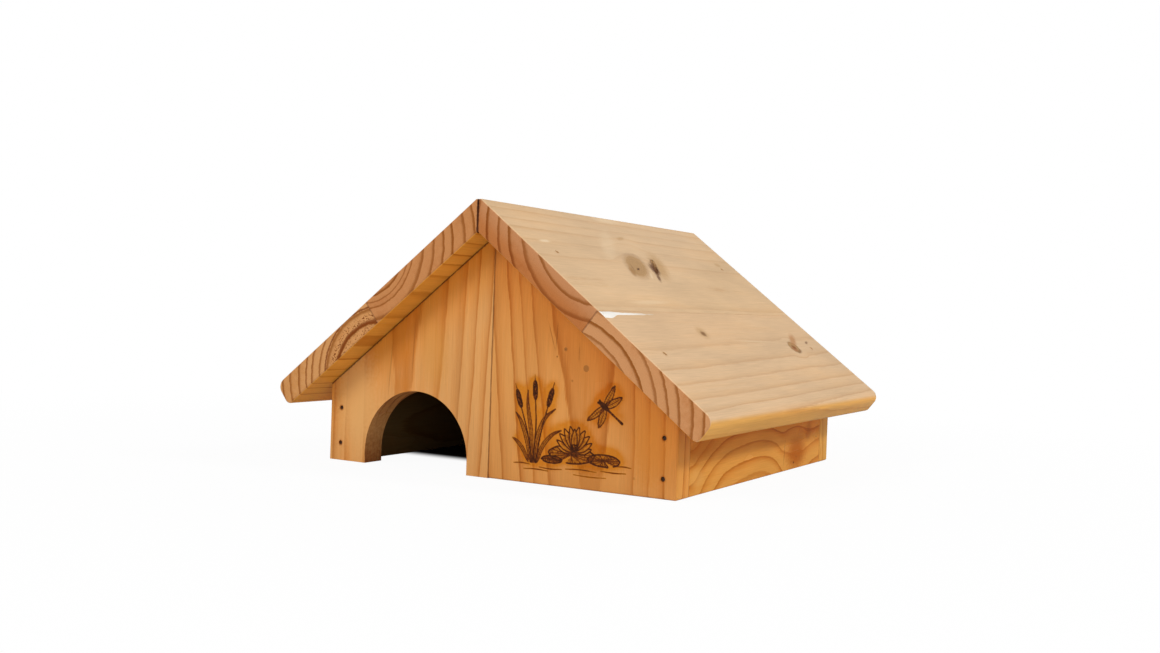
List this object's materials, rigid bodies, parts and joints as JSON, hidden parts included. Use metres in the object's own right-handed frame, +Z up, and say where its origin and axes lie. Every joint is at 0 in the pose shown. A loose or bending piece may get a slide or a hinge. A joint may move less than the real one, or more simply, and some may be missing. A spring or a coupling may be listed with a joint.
{
  "type": "frog house",
  "caption": "Low wooden garden shelter without a floor: boarded gables with an arched doorway to one side, and a pitched overhanging roof with rounded eaves.",
  "frame": {"origin": "On the ground, under the middle of the roof.", "axes": "+X is to the right as seen from the front, -Y is the front with the doorway, +Z is up."},
  "size_m": [0.3408, 0.325, 0.1847],
  "materials": {
    "gable_wood": "varnished softwood, amber",
    "wall_wood": "varnished softwood, amber",
    "roof_wood": "gloss-varnished softwood, pale",
    "nail_steel": "dull"
  },
  "bodies": {
    "root": {"front_gable_left": "gable_wood", "front_gable_right": "gable_wood", "back_gable_left": "gable_wood", "back_gable_right": "gable_wood", "side_wall_left": "wall_wood", "side_wall_right": "wall_wood", "roof_upper_left": "roof_wood", "roof_upper_right": "roof_wood", "roof_lower_left": "roof_wood", "roof_lower_right": "roof_wood", "front_nail_left_low": "nail_steel", "front_nail_left_high": "nail_steel", "front_nail_right_low": "nail_steel", "front_nail_right_high": "nail_steel", "back_nail_left_low": "nail_steel", "back_nail_left_high": "nail_steel", "back_nail_right_low": "nail_steel", "back_nail_right_high": "nail_steel", "roof_nail_front_left_upper": "nail_steel", "roof_nail_front_left_lower": "nail_steel", "roof_nail_front_right_upper": "nail_steel", "roof_nail_front_right_lower": "nail_steel", "roof_nail_back_left_upper": "nail_steel", "roof_nail_back_left_lower": "nail_steel", "roof_nail_back_right_upper": "nail_steel", "roof_nail_back_right_lower": "nail_steel"}
  },
  "joints": []
}
